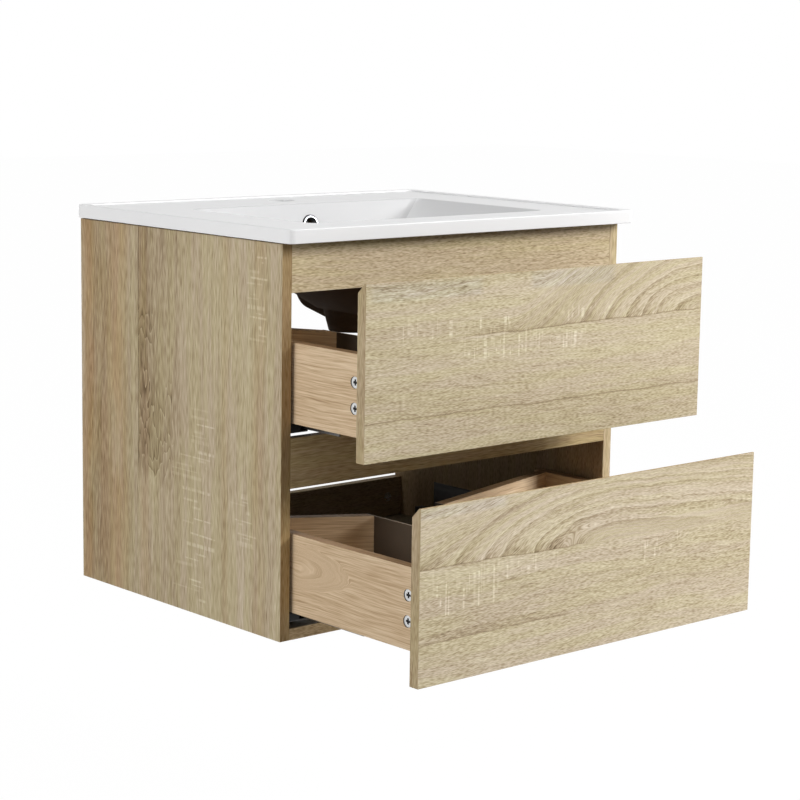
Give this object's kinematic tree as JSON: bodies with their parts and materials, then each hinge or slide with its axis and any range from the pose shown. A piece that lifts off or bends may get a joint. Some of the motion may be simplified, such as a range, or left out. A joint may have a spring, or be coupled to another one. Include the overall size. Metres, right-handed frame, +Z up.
{
  "type": "bathroom vanity unit",
  "caption": "Wall-hung bathroom vanity: wood-look carcass under an inset ceramic basin, with full-extension drawers cut out round the waste pipe.",
  "frame": {"origin": "midway between the two wall bolt holes, on the back face of the hanging rail that lies on the wall", "axes": "+X to the viewer's right, +Y into the wall, +Z up"},
  "size_m": [0.61, 0.7054, 0.522],
  "materials": {
    "oak_laminate": "wood-look laminate with fine grain",
    "drawer_film": "smooth wood-look film",
    "ceramic": "white glaze",
    "chrome_ring": "polished chrome",
    "runner_steel": "galvanised steel",
    "zinc_steel": "zinc plated",
    "die_cast": "die cast",
    "black_plastic": "black plastic",
    "grey_plastic": "grey plastic",
    "guard_plastic": "dark brown sheet"
  },
  "bodies": {
    "carcass": {"side_panel_left": "oak_laminate", "side_panel_right": "oak_laminate", "bottom_panel": "oak_laminate", "front_apron": "oak_laminate", "mid_rail": "oak_laminate", "rear_top_rail": "oak_laminate", "rear_bottom_rail": "oak_laminate", "ceramic_basin": "ceramic", "overflow_ring": "chrome_ring", "hanger_left": "zinc_steel", "hanger_right": "zinc_steel", "hanger_screws": "zinc_steel", "carcass_cams": "die_cast", "carcass_bolts": "zinc_steel", "upper_runner_left": "runner_steel", "upper_runner_right": "runner_steel", "lower_runner_left": "runner_steel", "lower_runner_right": "runner_steel", "runner_end_blocks": "black_plastic", "runner_screws": "zinc_steel"},
    "upper_drawer": {"upper_front": "oak_laminate", "upper_side_left": "drawer_film", "upper_side_right": "drawer_film", "upper_bottom": "drawer_film", "upper_back_left": "drawer_film", "upper_back_right": "drawer_film", "upper_guard": "guard_plastic", "upper_cams": "die_cast", "upper_bolts": "zinc_steel", "upper_slide_left": "runner_steel", "upper_slide_right": "runner_steel", "upper_clips": "grey_plastic"},
    "lower_drawer": {"lower_front": "oak_laminate", "lower_side_left": "drawer_film", "lower_side_right": "drawer_film", "lower_bottom": "drawer_film", "lower_back_left": "drawer_film", "lower_back_right": "drawer_film", "lower_guard": "guard_plastic", "lower_cams": "die_cast", "lower_bolts": "zinc_steel", "lower_slide_left": "runner_steel", "lower_slide_right": "runner_steel", "lower_clips": "grey_plastic"},
    "upper_middle": {"upper_middle_left": "runner_steel", "upper_middle_right": "runner_steel"},
    "lower_middle": {"lower_middle_left": "runner_steel", "lower_middle_right": "runner_steel"}
  },
  "joints": [
    {"name": "upper_drawer_slide", "type": "slide", "parent": "carcass", "child": "upper_drawer", "axis": [0, -1, 0], "range_m": [-0.1412, 0.2088]},
    {"name": "lower_drawer_slide", "type": "slide", "parent": "carcass", "child": "lower_drawer", "axis": [0, -1, 0], "range_m": [-0.2434, 0.1066]},
    {"name": "upper_middle_slide", "type": "slide", "parent": "carcass", "child": "upper_middle", "axis": [0, -1, 0], "range_m": [-0.0706, 0.1044]},
    {"name": "lower_middle_slide", "type": "slide", "parent": "carcass", "child": "lower_middle", "axis": [0, -1, 0], "range_m": [-0.1217, 0.0533]}
  ],
  "couplings": [
    {"joint": "upper_middle_slide", "follows": "upper_drawer_slide", "ratio": 0.5},
    {"joint": "lower_middle_slide", "follows": "lower_drawer_slide", "ratio": 0.5}
  ]
}
